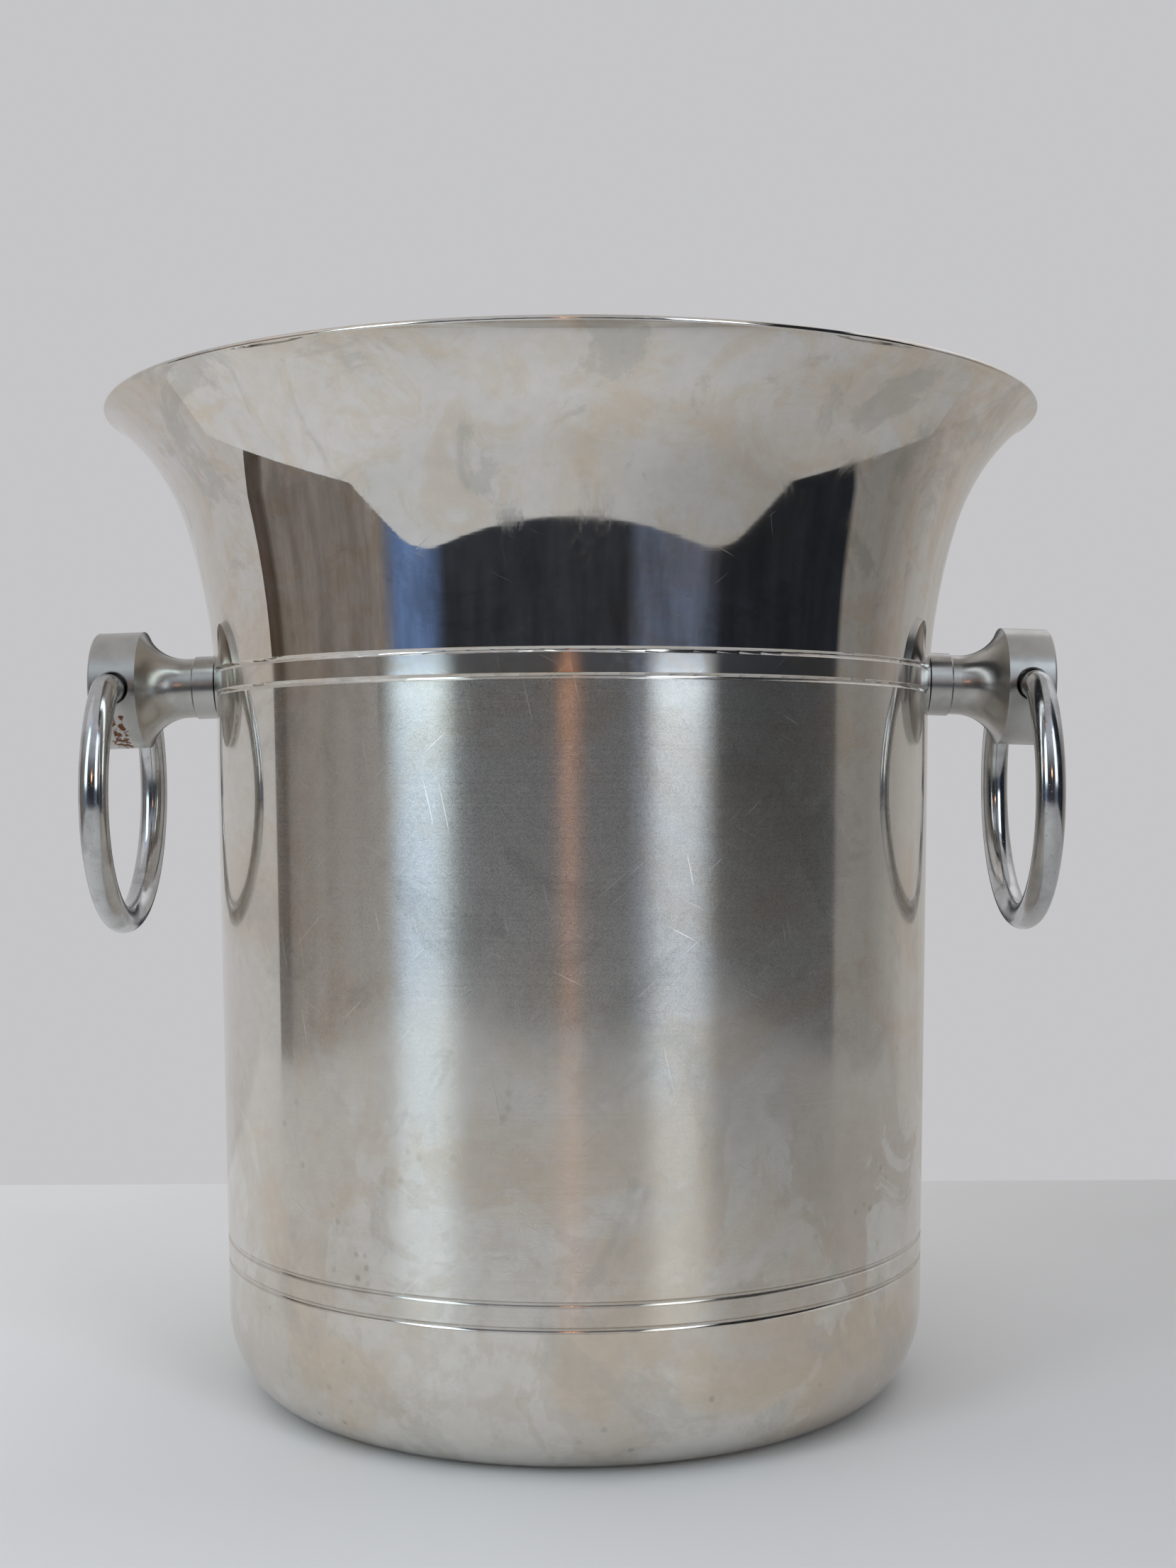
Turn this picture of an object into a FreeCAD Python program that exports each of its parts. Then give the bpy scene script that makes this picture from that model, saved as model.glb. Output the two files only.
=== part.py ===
import FreeCAD, Part
import math
import os

import Sketcher
from FreeCAD import Placement, Rotation, Vector

# Champagne bucket: a spun metal bucket with a flared mouth, and a ring handle on a turned boss at
# each side. Millimetres. The origin is on the table under the middle of the bucket, +Z is up, and
# the handles are at +X (right) and -X (left). Every handle part is drawn in the handle's own frame:
# origin in the middle of the boss's flat back, +X outwards along the boss.

DIMENSIONS = [
    # the bucket's outside
    ("rim_height", 239.25, "outer edge of the rim, whose top is a sheet's thickness higher"),
    ("rim_radius", 116.0, "outer edge of the rim"),
    ("rim_turn", 66.0, "degrees from upright that the wall has turned out at the rim"),
    ("curl_radius", 14.0, "last few millimetres of the flare, rolled out harder"),
    ("lip_radius", 55.0, "tight upper arc of the flare"),
    ("flare_radius", 155.0, "gentle lower arc of the flare"),
    ("flare_start", 168.6, "height where the straight wall ends"),
    ("wall_top_radius", 89.27, "wall at the flare's start"),
    ("wall_bottom_radius", 86.46, "wall at the top of the rounded corner"),
    ("corner_height", 20.1, "height of the rounded corner"),
    ("corner_upper_radius", 25.0, "upper arc of the corner"),
    ("corner_lower_radius", 13.5, "lower arc of the corner"),
    ("foot_inner_radius", 57.0, "inside of the ring that the bucket stands on"),
    ("recess_radius", 53.0, "flat middle of the floor"),
    ("recess_height", 1.5, "how far the middle of the floor is pushed up"),
    ("sheet_thickness", 1.2, "wall and floor"),
    ("rim_rounding", 0.45, "broken edges of the trimmed rim"),
    # turned grooves, a pair at the handles and a pair near the foot
    ("groove_width", 1.4, "at the wall's surface"),
    ("groove_depth", 0.35, "at the middle"),
    ("groove_first", 33.3, "height of the lowest groove"),
    ("groove_second", 38.7, "height of the next groove"),
    ("groove_third", 171.0, "height of the groove under the handles' axis"),
    ("groove_fourth", 176.5, "height of the groove over the handles' axis"),
    # the handles on the wall
    ("seat_height", 173.75, "height of the fixing screws"),
    ("boss_droop", 2.0, "degrees that the boss points down, square to the wall"),
    ("wall_bore_radius", 3.3, "hole in the wall for the screw"),
    ("seat_washer_radius", 7.7, "saddle washer between wall and boss"),
    ("seat_washer_thickness", 0.8, "at its middle"),
    # boss
    ("boss_length", 29.9, "from the flat back to the outer end"),
    ("collar_radius", 7.95, "collar at the wall"),
    ("collar_length", 5.2, "collar at the wall"),
    ("collar_bevel", 0.45, "step from the collar down to the neck"),
    ("neck_end", 7.6, "distance from the back where the neck starts to swell"),
    ("swell_radius", 11.3, "hollow arc from the neck out to the drum"),
    ("drum_radius", 14.75, "drum that the ring hangs in"),
    ("drum_chamfer", 0.5, "outer edge of the drum"),
    ("cross_bore_place", 23.9, "distance of the cross-hole from the back"),
    ("cross_bore_radius", 3.9, "cross-hole for the ring's ends"),
    ("cross_bore_chamfer", 0.3, "mouths of the cross-hole"),
    ("tapped_bore_radius", 3.05, "blind hole for the screw"),
    ("tapped_bore_depth", 13.0, "blind hole for the screw"),
    # ring
    ("bar_radius", 3.5, "round bar of the ring"),
    ("ring_radius", 32.4, "middle line of the ring"),
    ("ring_drop", 25.5, "from the ring's ends down to its centre"),
    ("bend_radius", 5.5, "middle line of the bends at the ends"),
    ("stub_inner_end", 5.0, "distance of each end from the middle of the drum"),
    ("stub_chamfer", 0.5, "edge of each end"),
    ("ring_sag", 0.3, "how far the bar lies below the middle of the loose cross-hole"),
    # fixing from inside
    ("seal_radius", 9.0, "rubber washer"),
    ("seal_thickness", 1.5, "rubber washer at its middle"),
    ("backing_radius", 9.0, "flat steel washer"),
    ("backing_thickness", 1.2, "flat steel washer"),
    ("washer_bore_radius", 3.2, "all three washers"),
    ("shank_radius", 3.0, "screw"),
    ("screw_reach", 10.0, "screw's tip inside the boss"),
    ("tip_chamfer", 0.8, "screw's tip"),
    ("head_radius", 5.25, "button head"),
    ("head_height", 3.3, "button head"),
    ("socket_flats", 4.0, "hexagon socket across the flats"),
    ("socket_depth", 2.0, "hexagon socket"),
]

doc = FreeCAD.newDocument("champagne_bucket")
sheet = doc.addObject("Spreadsheet::Sheet", "dims")
for row, (alias, value, note) in enumerate(DIMENSIONS, start=1):
    sheet.set(f"A{row}", alias)
    sheet.set(f"B{row}", str(value))
    sheet.setAlias(f"B{row}", alias)
    sheet.set(f"C{row}", note)
doc.recompute()

X_AXIS = Vector(1, 0, 0)
Y_AXIS = Vector(0, 1, 0)
Z_AXIS = Vector(0, 0, 1)
START, END, CENTRE = 1, 2, 3          # the points of a line or arc in a sketch
ORIGIN = (-1, 1)                      # a sketch's origin
H_AXIS, V_AXIS = -1, -2               # a sketch's two axes


def dim(alias):
    """A driving dimension's value, for starting geometry and placements."""
    return float(sheet.get(alias))


def bind(obj, **expressions):
    """Binds properties of an object to expressions, such as Radius="dims.seal_radius"."""
    for name, text in expressions.items():
        obj.setExpression(name, text)


# ---------------------------------------------------------------------------------------------
# Sketch helpers
# ---------------------------------------------------------------------------------------------

def new_sketch(body, name, plane):
    sketch = body.newObject("Sketcher::SketchObject", name)
    origin_plane = next(o for o in body.Origin.OriginFeatures if o.Role == plane)
    sketch.AttachmentSupport = [(origin_plane, "")]
    sketch.MapMode = "FlatFace"
    return sketch


def add_line(sketch, start, end):
    return sketch.addGeometry(Part.LineSegment(Vector(*start, 0), Vector(*end, 0)))


def add_arc(sketch, centre, radius, first, last):
    """An arc drawn anticlockwise between two angles in radians."""
    circle = Part.Circle(Vector(*centre, 0), Z_AXIS, radius)
    return sketch.addGeometry(Part.ArcOfCircle(circle, first, last))


def constrain(sketch, *args):
    return sketch.addConstraint(Sketcher.Constraint(*args))


def dimension(sketch, name, expression, *args):
    """A named measurement in a sketch, bound to the sheet."""
    index = constrain(sketch, *args)
    sketch.renameConstraint(index, name)
    sketch.setExpression(f"Constraints.{name}", expression)


def angle_of(centre, point):
    return math.atan2(point[1] - centre[1], point[0] - centre[0])


# ---------------------------------------------------------------------------------------------
# The bucket
# ---------------------------------------------------------------------------------------------

def wall_slope():
    rise = dim("flare_start") - dim("corner_height")
    return math.atan((dim("wall_top_radius") - dim("wall_bottom_radius")) / rise)


def wall_radius_text(height):
    """The outside radius at a height up to the middle of the flare's lower arc, as an expression.

    The straight wall goes on, and above flare_start the arc leaves it by rise squared over twice
    its radius.
    """
    straight = ("dims.wall_bottom_radius + (dims.wall_top_radius - dims.wall_bottom_radius)"
                f" * (dims.{height} - dims.corner_height) / (dims.flare_start - dims.corner_height)")
    swell = f"max(dims.{height} - dims.flare_start; 0) ^ 2 / (2 * dims.flare_radius)"
    return f"{straight} + {swell}"


def wall_line_sketch():
    """The outside of the bucket from the middle of the floor up to the rim: radius by height."""
    sketch = doc.addObject("Sketcher::SketchObject", "wall_line")
    sketch.Placement = Placement(Vector(), Rotation(X_AXIS, 90))
    slope = wall_slope()
    inward = Vector(-math.cos(slope), math.sin(slope), 0)

    wall_bottom = Vector(dim("wall_bottom_radius"), dim("corner_height"), 0)
    wall_top = Vector(dim("wall_top_radius"), dim("flare_start"), 0)
    rim = Vector(dim("rim_radius"), dim("rim_height"), 0)

    # the corner: its upper arc touches the wall, its lower arc touches the table
    upper = dim("corner_upper_radius")
    lower = dim("corner_lower_radius")
    upper_centre = wall_bottom + inward * upper
    across = math.sqrt((upper - lower) ** 2 - (upper_centre.y - lower) ** 2)
    lower_centre = Vector(upper_centre.x + across, lower, 0)
    corner_turn = math.atan2(lower_centre.y - upper_centre.y, across)

    # the flare: its lower arc leaves the wall, its upper arc goes over into the curl at the rim
    gentle = dim("flare_radius")
    tight = dim("lip_radius")
    gentle_centre = wall_top - inward * gentle
    curl = dim("curl_radius")
    rim_turn = math.radians(dim("rim_turn"))
    curl_centre = rim + Vector(math.cos(rim_turn), -math.sin(rim_turn), 0) * curl
    to_curl = curl_centre - gentle_centre
    reach = to_curl.Length
    along = (reach ** 2 + (gentle - tight) ** 2 - (tight - curl) ** 2) / (2 * reach)
    aside = math.sqrt((gentle - tight) ** 2 - along ** 2)
    towards = to_curl / reach
    tight_centre = gentle_centre + towards * along + Vector(-towards.y, towards.x, 0) * aside
    flare_turn = angle_of(gentle_centre, tight_centre)
    curl_turn = angle_of(tight_centre, curl_centre)
    full_turn = 2 * math.pi

    recess = (dim("recess_radius"), dim("recess_height"))
    foot = (dim("foot_inner_radius"), 0)
    middle = add_line(sketch, (0, recess[1]), recess)
    step = add_line(sketch, recess, foot)
    ring = add_line(sketch, foot, (lower_centre.x, 0))
    low = add_arc(sketch, (lower_centre.x, lower_centre.y), lower, -math.pi / 2, corner_turn)
    high = add_arc(sketch, (upper_centre.x, upper_centre.y), upper, corner_turn, -slope)
    wall = add_line(sketch, (wall_bottom.x, wall_bottom.y), (wall_top.x, wall_top.y))
    flare = add_arc(sketch, (gentle_centre.x, gentle_centre.y), gentle,
                    flare_turn % full_turn, math.pi - slope)
    lip = add_arc(sketch, (tight_centre.x, tight_centre.y), tight,
                  curl_turn % full_turn, flare_turn % full_turn)
    rolled = add_arc(sketch, (curl_centre.x, curl_centre.y), curl,
                     math.pi - rim_turn, curl_turn % full_turn)

    constrain(sketch, "PointOnObject", middle, START, V_AXIS)
    constrain(sketch, "Horizontal", middle)
    constrain(sketch, "Coincident", middle, END, step, START)
    constrain(sketch, "Coincident", step, END, ring, START)
    constrain(sketch, "PointOnObject", ring, START, H_AXIS)
    constrain(sketch, "Horizontal", ring)
    constrain(sketch, "Tangent", ring, END, low, START)
    constrain(sketch, "Tangent", low, END, high, START)
    constrain(sketch, "Tangent", high, END, wall, START)
    constrain(sketch, "Tangent", wall, END, flare, END)
    constrain(sketch, "Tangent", flare, START, lip, END)
    constrain(sketch, "Tangent", lip, START, rolled, END)

    for name, expression, line, point in (
            ("recess_radius", "dims.recess_radius", middle, END),
            ("foot_inner_radius", "dims.foot_inner_radius", step, END),
            ("wall_bottom_radius", "dims.wall_bottom_radius", wall, START),
            ("wall_top_radius", "dims.wall_top_radius", wall, END),
            ("rim_radius", "dims.rim_radius", rolled, START)):
        dimension(sketch, name, expression, "DistanceX", *ORIGIN, line, point, dim(name))
    for name, expression, line, point in (
            ("recess_height", "dims.recess_height", middle, END),
            ("corner_height", "dims.corner_height", wall, START),
            ("flare_start", "dims.flare_start", wall, END),
            ("rim_height", "dims.rim_height", rolled, START)):
        dimension(sketch, name, expression, "DistanceY", *ORIGIN, line, point, dim(name))
    for name, arc in (("corner_lower_radius", low), ("corner_upper_radius", high),
                      ("flare_radius", flare), ("lip_radius", lip), ("curl_radius", rolled)):
        dimension(sketch, name, f"dims.{name}", "Radius", arc, dim(name))
    dimension(sketch, "rim_turn", "dims.curl_radius * cos(dims.rim_turn)", "DistanceX",
              rolled, START, rolled, CENTRE, curl * math.cos(rim_turn))
    return sketch


def spun_wall():
    """The bucket before it is grooved and drilled: the wall line thickened inwards and spun."""
    section = doc.addObject("Part::Offset2D", "wall_section")
    section.Source = wall_line_sketch()
    section.Mode = "Skin"
    section.Join = "Intersection"
    section.Fill = True
    bind(section, Value="dims.sheet_thickness")
    spun = doc.addObject("Part::Revolution", "spun_wall")
    spun.Source = section
    spun.Axis = Z_AXIS
    spun.Angle = 360
    spun.Solid = True
    doc.recompute()

    rounded = doc.addObject("Part::Fillet", "trimmed_wall")
    rounded.Base = spun
    rounding = dim("rim_rounding")
    rounded.Edges = [(number, rounding, rounding)
                     for number, edge in enumerate(spun.Shape.Edges, start=1)
                     if edge.Closed and edge.CenterOfMass.z > dim("rim_height") - rounding]
    return rounded


def groove_cutters():
    """One ring of round section for each turned groove."""
    cutter_radius = "(dims.groove_width ^ 2 / 4 + dims.groove_depth ^ 2) / (2 * dims.groove_depth)"
    cutters = []
    for height in ("groove_first", "groove_second", "groove_third", "groove_fourth"):
        cutter = doc.addObject("Part::Torus", f"{height}_cutter")
        bind(cutter, Radius1=f"{wall_radius_text(height)} + {cutter_radius} - dims.groove_depth",
             Radius2=cutter_radius)
        cutter.setExpression("Placement.Base.z", f"dims.{height}")
        cutters.append(cutter)
    return cutters


def make_bucket_shell(wall):
    bore = doc.addObject("Part::Cylinder", "screw_bores")
    bore.Placement = Placement(Vector(-dim("rim_radius"), 0, dim("seat_height")), Rotation(Y_AXIS, 90))
    bind(bore, Radius="dims.wall_bore_radius", Height="2 * dims.rim_radius")
    cutters = doc.addObject("Part::MultiFuse", "wall_cutters")
    cutters.Shapes = groove_cutters() + [bore]
    shell = doc.addObject("Part::Cut", "bucket_shell")
    shell.Base = wall
    shell.Tool = cutters
    return shell


# ---------------------------------------------------------------------------------------------
# The handles
# ---------------------------------------------------------------------------------------------

def handle_frame(side):
    """Where the middle of a boss's flat back is, with +X outwards along the boss."""
    rise = dim("seat_height") - dim("flare_start")
    wall = dim("wall_top_radius") + rise * math.tan(wall_slope()) + rise ** 2 / (2 * dim("flare_radius"))
    back = wall + dim("seat_washer_thickness")
    right = Placement(Vector(back, 0, dim("seat_height")), Rotation(Y_AXIS, dim("boss_droop")))
    turn = Rotation(Z_AXIS, 180 if side == "left" else 0)
    return Placement(Vector(), turn) * right


def new_body(label, placement):
    body = doc.addObject("PartDesign::Body", label)
    body.Placement = placement
    return body


def revolve(body, sketch, name):
    """Turns an outline, drawn as radius over distance, about the handle's axis."""
    solid = body.newObject("PartDesign::Revolution", name)
    solid.Profile = sketch
    solid.ReferenceAxis = (sketch, ["H_Axis"])
    solid.Angle = 360
    return solid


def removed(body, feature, before):
    """Makes sure that a cutting feature took material away."""
    doc.recompute()
    if not feature.Shape.Volume < before - 1:
        raise RuntimeError(f"{feature.Name} cuts nothing from {body.Label}")


def chamfer(body, name, base, size, chosen):
    """Chamfers the edges that the test chooses."""
    edges = [f"Edge{number}" for number, edge in enumerate(base.Shape.Edges, start=1) if chosen(edge)]
    feature = body.newObject("PartDesign::Chamfer", name)
    feature.Base = (base, edges)
    bind(feature, Size=f"dims.{size}")
    doc.recompute()
    return feature


def make_boss(side, frame):
    """Collar, neck, hollow swell and drum, with the ring's cross-hole and a blind hole behind."""
    body = new_body(f"{side}_boss", frame)
    sketch = new_sketch(body, f"{side}_boss_outline", "XZ_Plane")
    length = dim("boss_length")
    collar = dim("collar_radius")
    collar_end = dim("collar_length")
    bevel = dim("collar_bevel")
    neck = collar - bevel
    swell = dim("swell_radius")
    swell_centre = (dim("neck_end"), neck + swell)
    drum = dim("drum_radius")
    edge = dim("drum_chamfer")
    swell_last = -math.asin((swell_centre[1] - drum) / swell)
    drum_start = (swell_centre[0] + swell * math.cos(swell_last), drum)

    back = add_line(sketch, (0, 0), (0, collar))
    side_line = add_line(sketch, (0, collar), (collar_end, collar))
    bevel_line = add_line(sketch, (collar_end, collar), (collar_end + bevel, neck))
    neck_line = add_line(sketch, (collar_end + bevel, neck), (dim("neck_end"), neck))
    arc = add_arc(sketch, swell_centre, swell, -math.pi / 2, swell_last)
    drum_line = add_line(sketch, drum_start, (length - edge, drum))
    edge_line = add_line(sketch, (length - edge, drum), (length, drum - edge))
    face = add_line(sketch, (length, drum - edge), (length, 0))
    axis = add_line(sketch, (length, 0), (0, 0))

    chain = [back, side_line, bevel_line, neck_line, arc, drum_line, edge_line, face, axis]
    for first, second in zip(chain, chain[1:] + chain[:1]):
        kind = "Tangent" if (first, second) == (neck_line, arc) else "Coincident"
        constrain(sketch, kind, first, END, second, START)
    for line in (back, face):
        constrain(sketch, "Vertical", line)
    for line in (side_line, neck_line, drum_line, axis):
        constrain(sketch, "Horizontal", line)
    constrain(sketch, "Coincident", back, START, *ORIGIN)
    dimension(sketch, "collar_radius", "dims.collar_radius", "DistanceY", back, START, back, END, collar)
    dimension(sketch, "collar_length", "dims.collar_length",
              "DistanceX", side_line, START, side_line, END, collar_end)
    dimension(sketch, "bevel_along", "dims.collar_bevel",
              "DistanceX", bevel_line, START, bevel_line, END, bevel)
    dimension(sketch, "bevel_down", "dims.collar_bevel",
              "DistanceY", bevel_line, END, bevel_line, START, bevel)
    dimension(sketch, "neck_end", "dims.neck_end", "DistanceX", *ORIGIN, neck_line, END, dim("neck_end"))
    dimension(sketch, "swell_radius", "dims.swell_radius", "Radius", arc, swell)
    dimension(sketch, "drum_radius", "dims.drum_radius", "DistanceY", *ORIGIN, drum_line, START, drum)
    dimension(sketch, "boss_length", "dims.boss_length", "DistanceX", *ORIGIN, face, END, length)
    dimension(sketch, "edge_along", "dims.drum_chamfer", "DistanceX", edge_line, START, edge_line, END, edge)
    dimension(sketch, "edge_down", "dims.drum_chamfer", "DistanceY", edge_line, END, edge_line, START, edge)
    doc.recompute()
    turned = revolve(body, sketch, f"{side}_boss_turned")
    doc.recompute()

    across = new_sketch(body, f"{side}_cross_bore_circle", "XZ_Plane")
    place = dim("cross_bore_place")
    radius = dim("cross_bore_radius")
    circle = across.addGeometry(Part.Circle(Vector(place, 0, 0), Z_AXIS, radius))
    constrain(across, "PointOnObject", circle, CENTRE, H_AXIS)
    dimension(across, "place", "dims.cross_bore_place", "DistanceX", *ORIGIN, circle, CENTRE, place)
    dimension(across, "radius", "dims.cross_bore_radius", "Radius", circle, radius)
    bored = body.newObject("PartDesign::Pocket", f"{side}_cross_bore")
    bored.Profile = across
    bored.SideType = "Symmetric"
    bored.Type = "ThroughAll"
    removed(body, bored, turned.Shape.Volume)

    def at_mouth(edge):
        return edge.Closed and abs(edge.CenterOfMass.y) > drum - radius and edge.Length > radius

    softened = chamfer(body, f"{side}_cross_bore_mouths", bored, "cross_bore_chamfer", at_mouth)

    blind = new_sketch(body, f"{side}_tapped_bore_circle", "YZ_Plane")
    circle = blind.addGeometry(Part.Circle(Vector(), Z_AXIS, dim("tapped_bore_radius")))
    constrain(blind, "Coincident", circle, CENTRE, *ORIGIN)
    dimension(blind, "radius", "dims.tapped_bore_radius", "Radius", circle, dim("tapped_bore_radius"))
    doc.recompute()
    hole = body.newObject("PartDesign::Hole", f"{side}_tapped_bore")
    hole.Profile = blind
    hole.DepthType = "Dimension"
    hole.DrillPoint = "Angled"
    hole.Reversed = True
    bind(hole, Diameter="2 * dims.tapped_bore_radius", Depth="dims.tapped_bore_depth")
    removed(body, hole, softened.Shape.Volume)
    return body


def make_ring(side, frame):
    """A round bar bent to a ring, its ends turned in to meet in the boss's cross-hole."""
    pivot = frame.multVec(Vector(dim("cross_bore_place"), 0, 0)) - Vector(0, 0, dim("ring_sag"))
    print(f"{side} ring turns about Y at {pivot.x:.3f}, {pivot.y:.3f}, {pivot.z:.3f}")
    body = new_body(f"{side}_ring", Placement(pivot, Rotation()))
    path = new_sketch(body, f"{side}_ring_path", "YZ_Plane")
    ring = dim("ring_radius")
    drop = dim("ring_drop")
    bend = dim("bend_radius")
    stub = dim("stub_inner_end")
    bend_y = math.sqrt((ring - bend) ** 2 - (drop - bend) ** 2)
    join = math.atan2(drop - bend, bend_y)

    near_stub = add_line(path, (stub, 0), (bend_y, 0))
    near_bend = add_arc(path, (bend_y, -bend), bend, join, math.pi / 2)
    hoop = add_arc(path, (0, -drop), ring, math.pi - join, 2 * math.pi + join)
    far_bend = add_arc(path, (-bend_y, -bend), bend, math.pi / 2, math.pi - join)
    far_stub = add_line(path, (-bend_y, 0), (-stub, 0))
    constrain(path, "Tangent", near_stub, END, near_bend, END)
    constrain(path, "Tangent", near_bend, START, hoop, END)
    constrain(path, "Tangent", hoop, START, far_bend, END)
    constrain(path, "Tangent", far_bend, START, far_stub, START)
    for line in (near_stub, far_stub):
        constrain(path, "PointOnObject", line, START, H_AXIS)
        constrain(path, "PointOnObject", line, END, H_AXIS)
    constrain(path, "PointOnObject", hoop, CENTRE, V_AXIS)
    constrain(path, "Equal", near_bend, far_bend)
    dimension(path, "ring_radius", "dims.ring_radius", "Radius", hoop, ring)
    dimension(path, "bend_radius", "dims.bend_radius", "Radius", near_bend, bend)
    dimension(path, "ring_drop", "dims.ring_drop", "DistanceY", hoop, CENTRE, *ORIGIN, drop)
    dimension(path, "near_end", "dims.stub_inner_end", "DistanceX", *ORIGIN, near_stub, START, stub)
    dimension(path, "far_end", "dims.stub_inner_end", "DistanceX", far_stub, END, *ORIGIN, stub)

    section = new_sketch(body, f"{side}_ring_section", "XZ_Plane")
    section.setExpression("AttachmentOffset.Base.z", "-dims.stub_inner_end")
    circle = section.addGeometry(Part.Circle(Vector(), Z_AXIS, dim("bar_radius")))
    constrain(section, "Coincident", circle, CENTRE, *ORIGIN)
    dimension(section, "bar_radius", "dims.bar_radius", "Radius", circle, dim("bar_radius"))
    doc.recompute()

    bar = body.newObject("PartDesign::AdditivePipe", f"{side}_ring_bar")
    bar.Profile = section
    bar.Spine = path
    doc.recompute()

    def at_end(edge):
        return edge.Closed and abs(abs(edge.CenterOfMass.y) - stub) < dim("stub_chamfer")

    chamfer(body, f"{side}_ring_ends", bar, "stub_chamfer", at_end)
    return body


def screw_seat():
    """Distance of the screw head's underside from the boss's back, going inwards."""
    layers = ("seat_washer_thickness", "sheet_thickness", "seal_thickness", "backing_thickness")
    return sum(dim(layer) for layer in layers)


def make_screw(side, frame):
    """A button head screw from inside the bucket, with its tip in the boss."""
    body = new_body(f"{side}_screw", frame)
    sketch = new_sketch(body, f"{side}_screw_outline", "XZ_Plane")
    under_head = -screw_seat()
    head = dim("head_radius")
    height = dim("head_height")
    dome = (head ** 2 + height ** 2) / (2 * height)
    dome_centre = (under_head - height + dome, 0)
    shank = dim("shank_radius")
    tip = dim("screw_reach")
    point = dim("tip_chamfer")

    dome_first = angle_of(dome_centre, (under_head, head))
    cap = add_arc(sketch, dome_centre, dome, dome_first, math.pi)
    under = add_line(sketch, (under_head, head), (under_head, shank))
    side_line = add_line(sketch, (under_head, shank), (tip - point, shank))
    point_line = add_line(sketch, (tip - point, shank), (tip, shank - point))
    end_line = add_line(sketch, (tip, shank - point), (tip, 0))
    axis = add_line(sketch, (tip, 0), (under_head - height, 0))
    constrain(sketch, "Coincident", cap, START, under, START)
    chain = [under, side_line, point_line, end_line, axis]
    for first, second in zip(chain, chain[1:]):
        constrain(sketch, "Coincident", first, END, second, START)
    constrain(sketch, "Coincident", axis, END, cap, END)
    constrain(sketch, "PointOnObject", cap, CENTRE, H_AXIS)
    constrain(sketch, "PointOnObject", axis, START, H_AXIS)
    for line in (side_line, axis):
        constrain(sketch, "Horizontal", line)
    for line in (under, end_line):
        constrain(sketch, "Vertical", line)
    seat = ("dims.seat_washer_thickness + dims.sheet_thickness + dims.seal_thickness"
            " + dims.backing_thickness")
    dimension(sketch, "seat", seat, "DistanceX", under, START, *ORIGIN, -under_head)
    dimension(sketch, "head_height", "dims.head_height", "DistanceX", axis, END, under, START, height)
    dimension(sketch, "head_radius", "dims.head_radius", "DistanceY", *ORIGIN, under, START, head)
    dimension(sketch, "shank_radius", "dims.shank_radius", "DistanceY", *ORIGIN, side_line, START, shank)
    dimension(sketch, "screw_reach", "dims.screw_reach", "DistanceX", *ORIGIN, end_line, START, tip)
    dimension(sketch, "point_along", "dims.tip_chamfer",
              "DistanceX", point_line, START, point_line, END, point)
    dimension(sketch, "point_down", "dims.tip_chamfer",
              "DistanceY", point_line, END, point_line, START, point)
    doc.recompute()
    turned = revolve(body, sketch, f"{side}_screw_turned")
    doc.recompute()

    socket = body.newObject("PartDesign::SubtractivePrism", f"{side}_screw_socket")
    origin_plane = next(o for o in body.Origin.OriginFeatures if o.Role == "YZ_Plane")
    socket.AttachmentSupport = [(origin_plane, "")]
    socket.MapMode = "FlatFace"
    socket.Polygon = 6
    bind(socket, Circumradius="dims.socket_flats / sqrt(3)", Height="dims.socket_depth")
    socket.setExpression("AttachmentOffset.Base.z", f"-({seat} + dims.head_height)")
    removed(body, socket, turned.Shape.Volume)
    return body


def disc(name, frame, inner_face, radius, length):
    """A round blank about the handle's axis; its radius and length are expressions."""
    blank = doc.addObject("Part::Cylinder", name)
    blank.Placement = frame * Placement(Vector(inner_face, 0, 0), Rotation(Y_AXIS, 90))
    bind(blank, Radius=radius, Height=length)
    return blank


def cut(name, base, tools):
    """The base less the tools."""
    result = doc.addObject("Part::Cut", name)
    result.Base = base
    if len(tools) == 1:
        result.Tool = tools[0]
    else:
        result.Tool = doc.addObject("Part::MultiFuse", f"{name}_cutters")
        result.Tool.Shapes = tools
    return result


def make_washers(side, frame, wall):
    """The saddle washer outside the wall, and the seal and flat washer inside it.

    The saddle washer and the seal are cut by the wall, so they take its curve on one face.
    """
    outer = dim("seat_washer_thickness")
    sheet_inside = outer + dim("sheet_thickness")
    seal_inside = sheet_inside + dim("seal_thickness")
    middle_of_sheet = outer + dim("sheet_thickness") / 2
    bore = disc(f"{side}_washer_bore", frame, -screw_seat(), "dims.washer_bore_radius", "dims.boss_length")

    saddle_blank = disc(f"{side}_saddle_blank", frame, -middle_of_sheet, "dims.seat_washer_radius",
                        "dims.seat_washer_thickness + dims.sheet_thickness / 2")
    saddle_face = doc.addObject("Part::Cylinder", f"{side}_saddle_face")
    crest = dim("wall_top_radius") + outer
    saddle_face.Placement = frame * Placement(Vector(-crest, 0, -dim("collar_radius")), Rotation())
    bind(saddle_face, Radius="dims.wall_top_radius + dims.seat_washer_thickness",
         Height="2 * dims.collar_radius")
    saddle = doc.addObject("Part::Common", f"{side}_saddle")
    saddle.Base = saddle_blank
    saddle.Tool = saddle_face

    seal_blank = disc(f"{side}_seal_blank", frame, -seal_inside, "dims.seal_radius",
                      "dims.seal_thickness + dims.sheet_thickness / 2")
    backing_blank = disc(f"{side}_backing_blank", frame, -screw_seat(), "dims.backing_radius",
                         "dims.backing_thickness")
    return [cut(f"{side}_seat_washer", saddle, [wall, bore]),
            cut(f"{side}_seal", seal_blank, [wall, bore]),
            cut(f"{side}_backing_washer", backing_blank, [bore])]


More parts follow.
